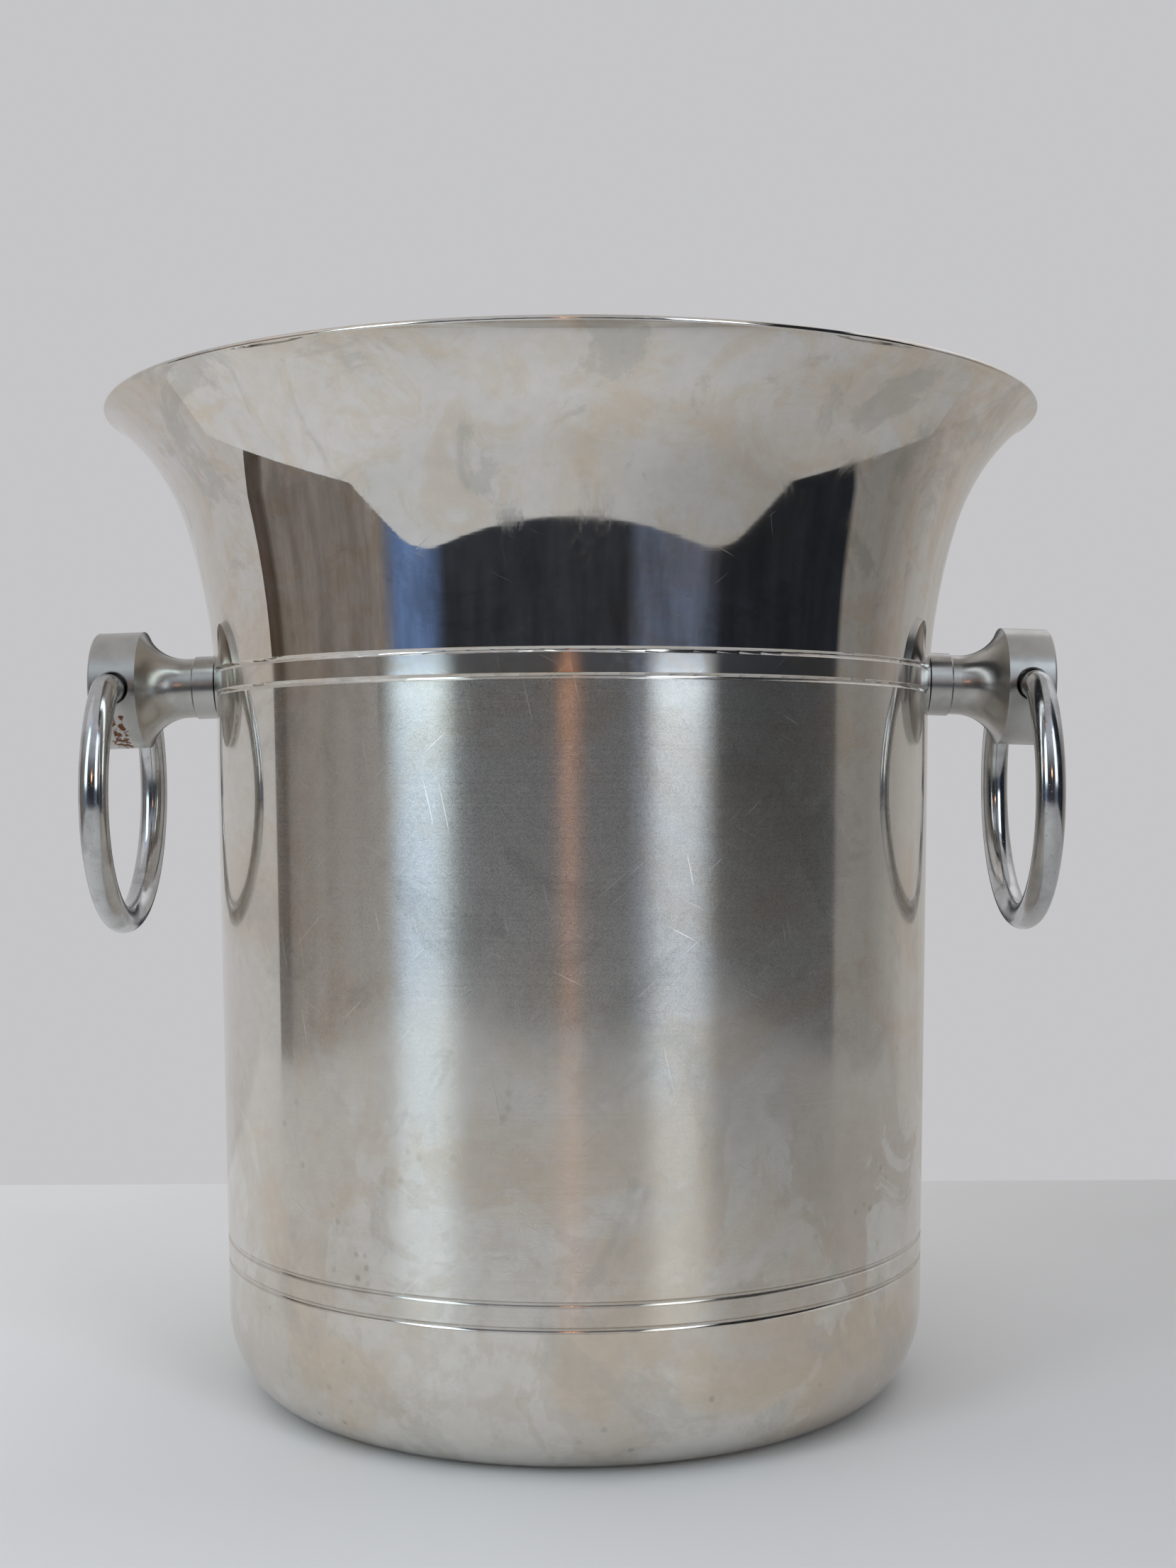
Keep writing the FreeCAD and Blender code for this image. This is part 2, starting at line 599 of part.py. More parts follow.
# ---------------------------------------------------------------------------------------------
# Assembly and export
# ---------------------------------------------------------------------------------------------

plain_wall = spun_wall()
pieces = [make_bucket_shell(plain_wall)]
for hand in ("left", "right"):
    hand_frame = handle_frame(hand)
    pieces.append(make_boss(hand, hand_frame))
    pieces.append(make_ring(hand, hand_frame))
    pieces.append(make_screw(hand, hand_frame))
    pieces.extend(make_washers(hand, hand_frame, plain_wall))
doc.recompute()

for obj in doc.Objects:
    if "Invalid" in obj.State or "Error" in obj.State:
        raise RuntimeError(f"{obj.Name} is {obj.State}")
for piece in pieces:
    shape = piece.Shape
    if shape.isNull() or not shape.isValid() or len(shape.Solids) != 1:
        raise RuntimeError(f"{piece.Label} is not one valid solid")

os.makedirs("parts", exist_ok=True)
for piece in pieces:
    piece.Shape.exportStep(f"parts/{piece.Label}.step")
    print(f"{piece.Label}: {piece.Shape.Volume / 1000:.2f} cubic centimetres")
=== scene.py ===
import math
from types import SimpleNamespace

import bpy
from mathutils import Matrix, Vector


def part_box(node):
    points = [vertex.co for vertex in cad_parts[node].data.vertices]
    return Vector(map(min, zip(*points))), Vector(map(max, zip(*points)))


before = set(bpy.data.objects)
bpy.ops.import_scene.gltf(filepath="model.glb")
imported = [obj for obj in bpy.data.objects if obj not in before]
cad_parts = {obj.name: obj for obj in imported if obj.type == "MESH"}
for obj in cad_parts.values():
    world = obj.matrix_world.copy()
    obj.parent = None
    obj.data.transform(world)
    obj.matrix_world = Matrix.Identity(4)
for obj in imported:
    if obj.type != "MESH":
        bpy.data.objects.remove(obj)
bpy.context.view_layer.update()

# ---------------------------------------------------------------------------------------------
# Places, in metres. +Z is up, +X the right handle, -Y the front. The height comes from the frame,
# and the outline repeats the design's own sizes.
# ---------------------------------------------------------------------------------------------

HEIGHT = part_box("bucket_shell")[1].z
GROOVES = tuple(share * HEIGHT for share in (0.13860, 0.16107, 0.71171, 0.73460))
POLISHED_FROM = GROOVES[2]
BASE_UP_TO = GROOVES[0]
# The shell's outline by radius and height: a slightly sloped wall, above it three arcs that turn
# outwards ever harder up to the rim, and below it two arcs that round the corner to the foot.
WALL_BOTTOM = Vector((0.08646, 0.0201))
WALL_TOP = Vector((0.08927, 0.1686))
RIM = Vector((0.116, 0.23925))
RIM_TURN = math.radians(66.0)
FLARE_RADIUS = 0.155
LIP_RADIUS = 0.055
CURL_RADIUS = 0.014
CORNER_UPPER_RADIUS = 0.025
CORNER_LOWER_RADIUS = 0.0135

# ---------------------------------------------------------------------------------------------
# Camera
# ---------------------------------------------------------------------------------------------

CAMERA_PLACE = Vector((0.0038, -0.4951, 0.14687))
CAMERA_PITCH = math.radians(90.205)
CAMERA_ROLL = math.radians(-0.259)
CAMERA_LENS_MM = 44.58


def make_camera():
    data = bpy.data.cameras.new("camera")
    data.sensor_width = 36.0
    data.lens = CAMERA_LENS_MM
    data.clip_start = 0.01
    camera = bpy.data.objects.new("camera", data)
    turned = Matrix.Rotation(CAMERA_PITCH, 4, "X") @ Matrix.Rotation(CAMERA_ROLL, 4, "Z")
    camera.matrix_world = Matrix.Translation(CAMERA_PLACE) @ turned
    bpy.context.scene.collection.objects.link(camera)
    bpy.context.scene.camera = camera


# ---------------------------------------------------------------------------------------------
# Node trees
# ---------------------------------------------------------------------------------------------

class Graph:
    """A short way to write a node tree: each method adds a node and returns its output."""

    def __init__(self, tree):
        self.tree = tree
        tree.nodes.clear()

    def node(self, kind, **settings):
        made = self.tree.nodes.new(kind)
        for name, value in settings.items():
            setattr(made, name, value)
        return made

    def feed(self, socket, value):
        """Links an output to a socket, or sets the socket to a plain value."""
        if isinstance(value, bpy.types.NodeSocket):
            self.tree.links.new(value, socket)
        else:
            socket.default_value = value

    def math(self, operation, *values, clamp=False):
        made = self.node("ShaderNodeMath", operation=operation, use_clamp=clamp)
        for socket, value in zip(made.inputs, values):
            self.feed(socket, value)
        return made.outputs[0]

    def vector_math(self, operation, *values):
        made = self.node("ShaderNodeVectorMath", operation=operation)
        for socket, value in zip(made.inputs, values):
            self.feed(socket, value)
        return made.outputs[0]

    def times(self, first, *others):
        for other in others:
            first = self.math("MULTIPLY", first, other)
        return first

    def plus(self, first, *others):
        for other in others:
            first = self.math("ADD", first, other)
        return first

    def minus(self, first, second):
        return self.math("SUBTRACT", first, second)

    def size(self, value):
        return self.math("ABSOLUTE", value)

    def split(self, vector):
        made = self.node("ShaderNodeSeparateXYZ")
        self.feed(made.inputs[0], vector)
        return made.outputs

    def join(self, x, y, z):
        made = self.node("ShaderNodeCombineXYZ")
        for socket, value in zip(made.inputs, (x, y, z)):
            self.feed(socket, value)
        return made.outputs[0]

    def stretch(self, vector, scale):
        return self.vector_math("MULTIPLY", vector, scale)

    def noise(self, vector, scale=1.0, detail=2.0, roughness=0.5, distortion=0.0):
        made = self.node("ShaderNodeTexNoise")
        self.feed(made.inputs["Vector"], vector)
        for name, value in (("Scale", scale), ("Detail", detail), ("Roughness", roughness),
                            ("Distortion", distortion)):
            made.inputs[name].default_value = value
        return made.outputs["Fac"]

    def cells(self, vector, scale):
        """The distance to the nearest of many points strewn at random."""
        made = self.node("ShaderNodeTexVoronoi")
        self.feed(made.inputs["Vector"], vector)
        made.inputs["Scale"].default_value = scale
        return made.outputs["Distance"]

    def between(self, value, low, high, to_low=0.0, to_high=1.0):
        """Maps low..high smoothly to to_low..to_high and holds the ends."""
        made = self.node("ShaderNodeMapRange", interpolation_type="SMOOTHSTEP")
        for socket, given in zip(made.inputs, (value, low, high, to_low, to_high)):
            self.feed(socket, given)
        return made.outputs[0]

    def stain(self, vector, cut, **noise):
        """Noise turned into marks: 0 below the first value of cut, 1 above the second."""
        return self.between(self.noise(vector, **noise), *cut)

    def grey(self, value):
        return self.join(value, value, value)

    def mix_value(self, share, first, second):
        """A mix of two numbers; first where share is 0."""
        made = self.node("ShaderNodeMix", data_type="FLOAT")
        for socket, value in zip((made.inputs[0], made.inputs[2], made.inputs[3]),
                                 (share, first, second)):
            self.feed(socket, value)
        return made.outputs[0]

    def blend(self, share, first, second, kind="MIX"):
        """A colour mix; first where share is 0."""
        made = self.node("ShaderNodeMix", data_type="RGBA", blend_type=kind)
        self.feed(made.inputs["Factor"], share)
        self.feed(made.inputs[6], first)
        self.feed(made.inputs[7], second)
        return made.outputs[2]

    def mix_vector(self, share, first, second):
        """A mix of two vectors; first where share is 0."""
        made = self.node("ShaderNodeMix", data_type="VECTOR")
        for socket, value in zip((made.inputs[0], made.inputs[4], made.inputs[5]),
                                 (share, first, second)):
            self.feed(socket, value)
        return made.outputs[1]

    def bump(self, height, distance, normal=None):
        made = self.node("ShaderNodeBump")
        made.inputs["Strength"].default_value = 1.0
        made.inputs["Distance"].default_value = distance
        self.feed(made.inputs["Height"], height)
        if normal is not None:
            self.feed(made.inputs["Normal"], normal)
        return made.outputs[0]


def new_material(name):
    material = bpy.data.materials.new(name)
    material.use_nodes = True
    return material, Graph(material.node_tree)


def object_place(graph):
    return graph.node("ShaderNodeTexCoord").outputs["Object"]


def finish_surface(graph, colour, roughness, normal=None, tangent_axis=None, anisotropy=0.0,
                 turned=0.0, metallic=1.0):
    """One Principled shader with plain values on its own sockets and the rest linked."""
    shader = graph.node("ShaderNodeBsdfPrincipled")
    graph.feed(shader.inputs["Base Color"], colour)
    graph.feed(shader.inputs["Roughness"], roughness)
    shader.inputs["Metallic"].default_value = metallic
    shader.inputs["Anisotropic"].default_value = anisotropy
    shader.inputs["Anisotropic Rotation"].default_value = turned
    if normal is not None:
        graph.feed(shader.inputs["Normal"], normal)
    if tangent_axis:
        tangent = graph.node("ShaderNodeTangent", direction_type="RADIAL", axis=tangent_axis)
        graph.feed(shader.inputs["Tangent"], tangent.outputs[0])
    output = graph.node("ShaderNodeOutputMaterial")
    graph.feed(output.inputs["Surface"], shader.outputs[0])


# ---------------------------------------------------------------------------------------------
# Materials
# ---------------------------------------------------------------------------------------------

POLISH_COLOUR = (0.72, 0.69, 0.655, 1.0)
SATIN_COLOUR = (0.735, 0.70, 0.65, 1.0)
TAN_STAIN = (0.66, 0.55, 0.42, 1.0)
TIDE_STAIN = (0.56, 0.48, 0.40, 1.0)
GREY_STAIN = (0.50, 0.48, 0.44, 1.0)
GROOVE_DIRT = (0.40, 0.37, 0.32, 1.0)
SCRATCH_COLOUR = (0.9, 0.9, 0.9, 1.0)
SPOT_COLOUR = (0.20, 0.18, 0.15, 1.0)
BROWN_SPECK = (0.19, 0.085, 0.045, 1.0)

ACROSS_LINES = 0.25         # a quarter turn: the haze runs across the turning lines
WALL_RADIUS = 0.088         # for laying the wall flat
FINISH_EDGE = 0.0003        # half the height over which one finish goes over into the next
LOW_ZONE = (0.115, 0.02)    # heights between which wear grows towards the foot
HAIR_SCALE = 26000.0        # grain too fine to see

# The satin is a fine mix of a sharp polish and a haze. Both are roughness values.
SATIN_CORE = 0.065
SATIN_HAZE = 0.30
FOOT_ROUGHNESS = (0.095, 0.145)
MIRROR_ROUGHNESS = 0.016
INNER_ROUGHNESS = 0.26
# For looks, the satin is sharpest beyond the first distance from the middle and haziest within the
# second. There the grain counts as haze above these values.
SATIN_SIDES = (0.078, 0.052)
SATIN_SHARE = (0.555, 0.41)

# Noises: scale in cells per metre, unless the place is stretched first.
CLOUDS = {"scale": 17.0, "detail": 7.0, "roughness": 0.66, "distortion": 0.7}
PATCHES = {"scale": 34.0, "detail": 6.0, "roughness": 0.68, "distortion": 0.9}
MARBLE = {"scale": 58.0, "detail": 7.0, "roughness": 0.7, "distortion": 1.3}
TIDE = {"scale": 26.0, "detail": 6.0, "roughness": 0.6, "distortion": 1.1}
RUST = {"scale": 95.0, "detail": 6.0, "roughness": 0.74}
MOTTLE = {"scale": 300.0, "detail": 4.0, "roughness": 0.7}
STREAKS = {"detail": 5.0, "roughness": 0.62, "distortion": 0.5}
WIPES = {"detail": 7.0, "roughness": 0.7, "distortion": 0.8}
TURNED = {"detail": 2.0, "roughness": 0.6}

SCRATCH_SETS = (
    # angle in degrees, spacing, length, seed, how much of the noise stays free of scratches
    (27.0, 0.0006, 0.018, 3, 0.735),
    (-41.0, 0.0005, 0.014, 11, 0.745),
    (78.0, 0.0007, 0.022, 23, 0.74),
)


def unrolled(graph, place):
    """Arc length round +Z, and height: the wall laid flat. The seam is at the back."""
    x, y, z = graph.split(place)
    turn = graph.math("ARCTAN2", x, graph.math("MULTIPLY", y, -1.0))
    return graph.join(graph.math("MULTIPLY", turn, WALL_RADIUS), z, 0.0)


def scratch_set(graph, flat, angle, spacing, length, seed, share):
    """Fine straight dashes in one direction: 1 on a scratch, 0 elsewhere."""
    turned = graph.node("ShaderNodeVectorRotate", rotation_type="Z_AXIS")
    graph.feed(turned.inputs["Vector"], flat)
    turned.inputs["Angle"].default_value = math.radians(angle)
    stretched = graph.stretch(turned.outputs[0], (1.0 / length, 1.0 / spacing, 1.0))
    moved = graph.vector_math("ADD", stretched, (seed * 3.7, seed * 7.1, seed * 1.3))
    return graph.between(graph.noise(moved, detail=1.0), share, share + 0.05)


def outline_arcs():
    """Each arc's height of centre, radius, and 1 if it opens outwards or -1 if it is rounded."""
    inward = (WALL_TOP - WALL_BOTTOM).orthogonal().normalized()
    flare = WALL_TOP - inward * FLARE_RADIUS
    curl = RIM + Vector((math.cos(RIM_TURN), -math.sin(RIM_TURN))) * CURL_RADIUS
    # The lip lies between the two and touches both, which gives its distance to each centre.
    from_flare = FLARE_RADIUS - LIP_RADIUS
    from_curl = LIP_RADIUS - CURL_RADIUS
    reach = (curl - flare).length
    along = (reach ** 2 + from_flare ** 2 - from_curl ** 2) / (2 * reach)
    aside = math.sqrt(from_flare ** 2 - along ** 2)
    towards = (curl - flare).normalized()
    lip = flare + towards * along + towards.orthogonal() * aside
    upper = WALL_BOTTOM + inward * CORNER_UPPER_RADIUS
    return ((flare.y, FLARE_RADIUS, 1), (lip.y, LIP_RADIUS, 1), (curl.y, CURL_RADIUS, 1),
            (upper.y, CORNER_UPPER_RADIUS, -1), (CORNER_LOWER_RADIUS, CORNER_LOWER_RADIUS, -1))


def outline_normal(graph, place):
    """The exact normal of the shell's outside, turned from the outline."""
    x, y, z = graph.split(place)
    down = (WALL_TOP - WALL_BOTTOM).normalized().x
    for centre, radius, side in outline_arcs():
        above = graph.math("SUBTRACT", z, centre)
        down = graph.math("MAXIMUM", down, graph.math("MULTIPLY", above, side / radius))
    down = graph.math("MINIMUM", down, 1.0)
    level = graph.math("SQRT", graph.math("SUBTRACT", 1.0, graph.math("MULTIPLY", down, down)))
    outwards = graph.vector_math("NORMALIZE", graph.join(x, y, 0.0))
    scaled = graph.vector_math("MULTIPLY", outwards, graph.join(level, level, 0.0))
    normal = graph.vector_math("SUBTRACT", scaled, graph.join(0.0, 0.0, down))
    turned = graph.node("ShaderNodeVectorTransform", vector_type="NORMAL", convert_from="OBJECT",
                        convert_to="WORLD")
    graph.feed(turned.inputs[0], normal)
    return turned.outputs[0]


def shell_zones(g, normal, x, y, z):
    """Where each finish lies, 0 to 1."""
    nx, ny, nz = g.split(normal)
    outward = g.plus(g.times(nx, x), g.times(ny, y))
    outward = g.minus(outward, g.times(nz, 0.05))   # so that the floor counts as inside too
    inside = g.between(outward, 0.0015, -0.0015)
    polished = g.between(z, POLISHED_FROM - FINISH_EDGE, POLISHED_FROM + FINISH_EDGE)
    return SimpleNamespace(
        inside=inside,
        outside=g.minus(1.0, inside),
        polished=g.times(polished, g.minus(1.0, g.times(inside, 0.8))),
        foot=g.between(z, BASE_UP_TO + FINISH_EDGE, BASE_UP_TO - FINISH_EDGE),
        low=g.between(z, *LOW_ZONE))


def shell_scratches(g, flat, zones):
    """Three sets of fine scratches, fewer on the polished mouth."""
    scratches = None
    for scratch in SCRATCH_SETS:
        made = scratch_set(g, flat, *scratch)
        scratches = made if scratches is None else g.math("MAXIMUM", scratches, made)
    return g.times(scratches, g.mix_value(zones.polished, 1.0, 0.45))


def shell_marks(g, place, flat, x, zones):
    """Tarnish, wiping marks, scratches and spots, 0 to 1."""
    clouds = g.noise(g.stretch(place, (1.0, 1.0, 1.3)), **CLOUDS)
    beside = g.between(g.size(x), 0.055, 0.080)
    streaks = g.stain(g.stretch(flat, (85.0, 14.0, 1.0)), (0.50, 0.62), **STREAKS)
    some_places = g.stain(place, (0.56, 0.70), scale=46.0)
    more_low = g.plus(0.2, g.times(zones.low, 0.8))
    spots = g.between(g.cells(place, 240.0), 0.26, 0.10)
    return SimpleNamespace(
        clouds=clouds,
        tan=g.between(clouds, 0.46, 0.60),
        grey=g.stain(place, (0.54, 0.62), **PATCHES),
        streaks=g.times(streaks, beside, zones.polished),
        wiped=g.stain(g.stretch(flat, (50.0, 38.0, 1.0)), (0.52, 0.78), **WIPES),
        scratches=shell_scratches(g, flat, zones),
        spots=g.times(spots, some_places, more_low))


def shell_roughness(g, place, lines, x, z, zones, marks):
    """Fine satin on the wall, near mirror at the mouth, soft polish on the foot, plain inside."""
    hair = g.noise(place, scale=HAIR_SCALE, detail=0.0)
    hair = g.plus(hair, g.times(g.minus(lines, 0.5), 0.06))
    least = g.mix_value(g.between(g.size(x), *SATIN_SIDES), *SATIN_SHARE)
    haze = g.between(hair, least, g.plus(least, 0.14))
    satin = g.plus(g.mix_value(haze, SATIN_CORE, SATIN_HAZE), g.times(marks.wiped, 0.03))

    band = g.between(z, GROOVES[3] + FINISH_EDGE, GROOVES[3] - FINISH_EDGE)
    polish = MIRROR_ROUGHNESS
    for mark, added in ((marks.tan, 0.014), (marks.grey, 0.03), (marks.wiped, 0.10), (band, 0.13)):
        polish = g.plus(polish, g.times(mark, added))

    inner = g.plus(INNER_ROUGHNESS, g.times(lines, 0.12))
    roughness = g.mix_value(zones.foot, satin, g.mix_value(haze, *FOOT_ROUGHNESS))
    roughness = g.mix_value(zones.inside, roughness, inner)
    roughness = g.mix_value(zones.polished, roughness, polish)
    return g.math("ADD", roughness, g.times(marks.scratches, 0.12), clamp=True)


def shell_colour(g, place, lines, x, y, z, zones, marks, groove_away):
    """Warm silver under tan, grey and brown tarnish, with dirt in the grooves."""
    tide = g.stain(g.stretch(place, (1.0, 1.0, 0.8)), (0.48, 0.51), **TIDE)
    tide = g.times(tide, g.between(z, 0.105, 0.06))
    more_right = g.between(x, 0.015, 0.065, 0.3, 0.62)
    rusty = g.times(g.stain(place, (0.47, 0.62), **RUST), zones.low, 0.34)
    less_behind = g.between(y, 0.0, 0.05, 0.45, 0.25)
    more_tan = g.plus(less_behind, g.times(zones.low, 0.12))
    marbled = g.times(g.stain(place, (0.48, 0.60), **MARBLE), zones.polished, 0.42)
    more_grey = g.plus(0.34, g.times(zones.polished, 0.2))

    colour = g.blend(zones.polished, SATIN_COLOUR, POLISH_COLOUR)
    for share, stain in ((g.times(tide, more_right), TIDE_STAIN),
                         (rusty, TIDE_STAIN),
                         (g.times(marks.streaks, 0.4), TAN_STAIN),
                         (g.times(marks.tan, more_tan), TAN_STAIN),
                         (marbled, TAN_STAIN),
                         (g.times(marks.grey, more_grey), GREY_STAIN)):
        colour = g.blend(share, colour, stain)

    shade = g.between(g.noise(place, **MOTTLE), 0.25, 0.75, 0.955, 1.03)
    turned = g.between(lines, 0.25, 0.75, 1.008, 0.992)
    shade = g.times(shade, g.mix_value(zones.polished, turned, 1.0))
    colour = g.blend(1.0, colour, g.grey(shade), kind="MULTIPLY")

    dirt = g.times(g.between(groove_away, 0.0010, 0.0005), zones.outside)
    dirt = g.times(dirt, g.between(marks.clouds, 0.3, 0.7, 0.12, 0.3))
    for share, mark in ((g.times(marks.scratches, 0.3), SCRATCH_COLOUR),
                        (g.times(marks.spots, 0.45), SPOT_COLOUR),
                        (dirt, GROOVE_DIRT)):
        colour = g.blend(share, colour, mark)
    return colour


def shell_normal(g, place, z, zones, groove_away):
    """The exact outline's normal where the outside is plain, else the mesh's, faintly rippled."""
    plain = g.times(g.between(groove_away, 0.0007, 0.0011),
                    g.between(z, HEIGHT * 0.9958, HEIGHT * 0.9950),
                    g.between(z, 0.0002, 0.0004), zones.outside)
    mesh_normal = g.node("ShaderNodeNewGeometry").outputs["Normal"]
    normal = g.mix_vector(plain, mesh_normal, outline_normal(g, place))
    ripple = g.noise(g.stretch(place, (4.0, 4.0, 620.0)), **TURNED)
    return g.bump(ripple, 0.0000016, normal=normal)


def shell_material():
    """Polished mouth, satin wall, softly polished foot and a plain inside, all lightly tarnished."""
    material, g = new_material("silver_shell")
    texture = g.node("ShaderNodeTexCoord")
    place = texture.outputs["Object"]
    x, y, z = g.split(place)
    flat = unrolled(g, place)
    lines = g.noise(g.stretch(place, (3.0, 3.0, 1900.0)), **TURNED)
    groove_away = None
    for groove in GROOVES:
        away = g.size(g.minus(z, groove))
        groove_away = away if groove_away is None else g.math("MINIMUM", groove_away, away)

    zones = shell_zones(g, texture.outputs["Normal"], x, y, z)
    marks = shell_marks(g, place, flat, x, zones)
    finish_surface(g, shell_colour(g, place, lines, x, y, z, zones, marks, groove_away),
                   shell_roughness(g, place, lines, x, z, zones, marks),
                   normal=shell_normal(g, place, z, zones, groove_away),
                   tangent_axis="Z", anisotropy=1.0, turned=ACROSS_LINES)
    return material


# The rust patch on the left drum, under its cross-hole
RUST_PATCH_X = -0.1132
RUST_PATCH_Z = 0.1620


def boss_material():
    """Turned on a lathe: faint rings round X, and brown specks low on the left drum."""
    material, g = new_material("silver_boss")
    place = object_place(g)
    x, _, z = g.split(place)
    rings = g.noise(g.stretch(place, (1300.0, 14.0, 14.0)), **TURNED)
    film = g.stain(place, (0.42, 0.66), scale=120.0, detail=5.0, roughness=0.62)
    across = g.between(g.size(g.minus(x, RUST_PATCH_X)), 0.0030, 0.0012)
    along = g.between(g.size(g.minus(z, RUST_PATCH_Z)), 0.0060, 0.0030)
    specks = g.noise(place, scale=620.0, detail=4.0, roughness=0.7, distortion=0.4)
    specks = g.between(g.plus(specks, g.times(across, along, 0.22)), 0.69, 0.72)

    grain = g.stain(place, (0.40, 0.60), scale=HAIR_SCALE, detail=0.0)
    roughness = g.mix_value(grain, 0.22, 0.32)
    roughness = g.plus(roughness, g.times(film, 0.04), g.times(specks, 0.3))
    colour = g.blend(g.times(film, 0.5), (0.50, 0.49, 0.465, 1.0), (0.40, 0.385, 0.355, 1.0))
    shade = g.between(rings, 0.3, 0.7, 0.985, 1.012)
    colour = g.blend(1.0, colour, g.grey(shade), kind="MULTIPLY")
    colour = g.blend(specks, colour, BROWN_SPECK)
    finish_surface(g, colour, roughness, normal=g.bump(rings, 0.0000004), tangent_axis="X",
                   anisotropy=0.4, turned=ACROSS_LINES)
    return material


def ring_material():
    """Bright plated bar with finger smudges and light wear."""
    material, g = new_material("silver_ring")
    place = object_place(g)
    smudge = g.noise(place, scale=120.0, detail=4.0, roughness=0.6, distortion=0.6)
    pits = g.between(g.noise(place, scale=1300.0, detail=2.0), 0.66, 0.72)
    roughness = g.between(smudge, 0.35, 0.72, 0.10, 0.24)
    roughness = g.math("ADD", roughness, g.math("MULTIPLY", pits, 0.2))
    colour = g.blend(g.between(smudge, 0.42, 0.7), (0.56, 0.56, 0.56, 1.0), (0.43, 0.43, 0.425, 1.0))
    colour = g.blend(g.math("MULTIPLY", pits, 0.5), colour, (0.30, 0.28, 0.25, 1.0))
    wear = g.noise(place, scale=600.0, detail=3.0, roughness=0.7)
    finish_surface(g, colour, roughness, normal=g.bump(wear, 0.000004))
    return material


def steel_material():
    """Plain stainless steel with a thin film."""
    material, g = new_material("steel")
    place = object_place(g)
    grain = g.noise(place, scale=900.0, detail=3.0, roughness=0.6)
    film = g.noise(place, scale=220.0, detail=3.0)
    roughness = g.between(grain, 0.3, 0.7, 0.22, 0.38)
    colour = g.blend(g.between(film, 0.4, 0.65), (0.60, 0.60, 0.61, 1.0), (0.47, 0.46, 0.44, 1.0))
    finish_surface(g, colour, roughness, normal=g.bump(grain, 0.000005))
    return material


def rubber_material():
    """Matt black moulded rubber with a little dust."""
    material, g = new_material("rubber")
    place = object_place(g)
    grain = g.noise(place, scale=1500.0, detail=2.0)
    dust = g.noise(place, scale=260.0, detail=3.0)
    roughness = g.between(grain, 0.3, 0.7, 0.7, 0.9)
    colour = g.blend(g.between(dust, 0.5, 0.72), (0.028, 0.028, 0.028, 1.0), (0.075, 0.072, 0.068, 1.0))
    finish_surface(g, colour, roughness, normal=g.bump(grain, 0.00003), metallic=0.0)
    return material


BOSS_FINISH = boss_material()
STEEL_FINISH = steel_material()
MATERIALS = {
    "shell": shell_material(),
    "boss": BOSS_FINISH,
    "seat_washer": BOSS_FINISH,
    "ring": ring_material(),
    "screw": STEEL_FINISH,
    "backing_washer": STEEL_FINISH,
    "seal": rubber_material(),
}


def dress_nodes():
    """Gives every CAD node the finish of its kind: the name without its first word."""
    for name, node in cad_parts.items():
        kind = name.split("_", 1)[1]
        for slot in node.material_slots:
            slot.material = MATERIALS[kind]


# ---------------------------------------------------------------------------------------------
# Studio. Azimuths are in degrees round the object: 0 straight in front, positive towards +X.
# ---------------------------------------------------------------------------------------------

WORLD_LIGHT = (0.56, 0.56, 0.572)
TOP_LIGHT_PLACE = (-0.15, -0.35, 2.2)
TOP_LIGHT_SIZE = 2.4
TOP_LIGHT_WATTS = 14.0

TABLE_BACK = 0.234
TABLE_FRONT = -0.645
TABLE_HALF_WIDTH = 0.60
TABLE_CORNER = 0.12
TABLE_CORNER_STEPS = 9
TABLE_THICK = 0.03
TABLE_COLOURS = ((0.835, 0.825, 0.81, 1.0), (0.80, 0.79, 0.775, 1.0))
TABLE_ROUGHNESS = 0.75
# From the first place to the second the table's cloth fades from full brightness to a share of it.
FADE_TO_FRONT = (-0.17, -0.40, 1.0, 0.83)
FADE_TO_RIGHT = (-0.05, 0.36, 1.0, 0.68)

SCREEN_AWAY = 2.5
LIT_SHEETS_AWAY = 2.4
CLOTH_HEIGHTS = (-1.0, 3.6)
CLOTHS_IN_TO = 0.5          # the cloths go on along the ground, in to this distance
CLOTHS = (
    # plain cloths hung side by side: from azimuth, to azimuth, colour as it shines
    (-104, -98, (0.080, 0.066, 0.058)),
    (-97, -57, (0.200, 0.182, 0.170)),
    (-52, -43, (0.115, 0.185, 0.360)),
    (-37, 16, (0.030, 0.034, 0.043)),
    (21, 38, (0.100, 0.120, 0.175)),
    (45, 87, (0.017, 0.020, 0.026)),
    (89, 104, (0.220, 0.215, 0.210)),
    (130, 166, (0.420, 0.410, 0.400)),
)
UPPER_GLOW = 0.5
UPPER_GLOW_HEIGHTS = (0.4, 2.2)
NO_GLOW = (40.0, 48.0, 84.0, 90.0)      # fades out over the first two azimuths, in over the others
PALE_FROM = (86.0, 89.0)                # the cloths from here on have shallower folds
DARK_FOLDS, PALE_FOLDS = 0.22, 0.05

BACK_CLOTH_AZIMUTHS = (165, 195)
BACK_CLOTH_HEIGHTS = (-0.5, 2.0)
BACK_CLOTH_COLOUR = (0.045, 0.048, 0.055, 1.0)

LIT_SHEETS = (
    # name, azimuths, heights, colour as it shines, degrees of soft edge, and the bright middle's
    # half size in degrees and gain
    ("window_left", (-60, -33), (0.15, 2.6), (2.80, 3.45, 3.85), 8.5, None),
    ("window_right", (20, 46), (0.14, 2.6), (2.70, 3.10, 3.50), 8.5, None),
    ("lamp", (-6, 4.5), (0.5, 0.8), (4.1, 2.0, 1.05), 4.5, (0.7, 7.0)),
)
BRIGHT_MIDDLE_HEIGHT = 0.03             # half its height


